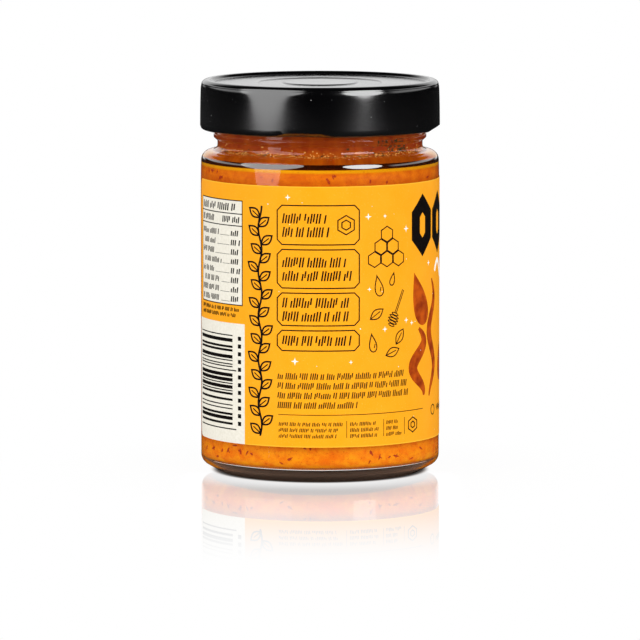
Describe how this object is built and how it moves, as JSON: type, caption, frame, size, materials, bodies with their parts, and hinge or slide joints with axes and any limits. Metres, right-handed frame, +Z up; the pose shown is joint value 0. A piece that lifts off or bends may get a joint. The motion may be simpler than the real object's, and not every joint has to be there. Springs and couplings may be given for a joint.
{
  "type": "jar of hot honey pasta sauce",
  "caption": "Clear round glass jar of orange sauce with a black deep twist-off lid and a wide yellow paper label.",
  "frame": {"origin": "on the table, under the jar's axis", "axes": "+Z up along the jar's axis; -Y faces the viewer who sees the label's left end and its ruled panels"},
  "size_m": [0.073, 0.073, 0.1195],
  "materials": {
    "clear_glass": "clear flint glass, fire polished, with a fine mould seam",
    "sauce": "thick smooth orange sauce with fine herb and chilli specks, wet against the glass",
    "black_lacquer": "black lacquer on tinplate, glossy",
    "label_paper": "yellow-orange printed paper, uncoated satin, with fields and rows of dark print"
  },
  "bodies": {
    "root": {"glass_jar": "clear_glass", "sauce": "sauce", "lid": "black_lacquer", "label": "label_paper"}
  },
  "joints": []
}
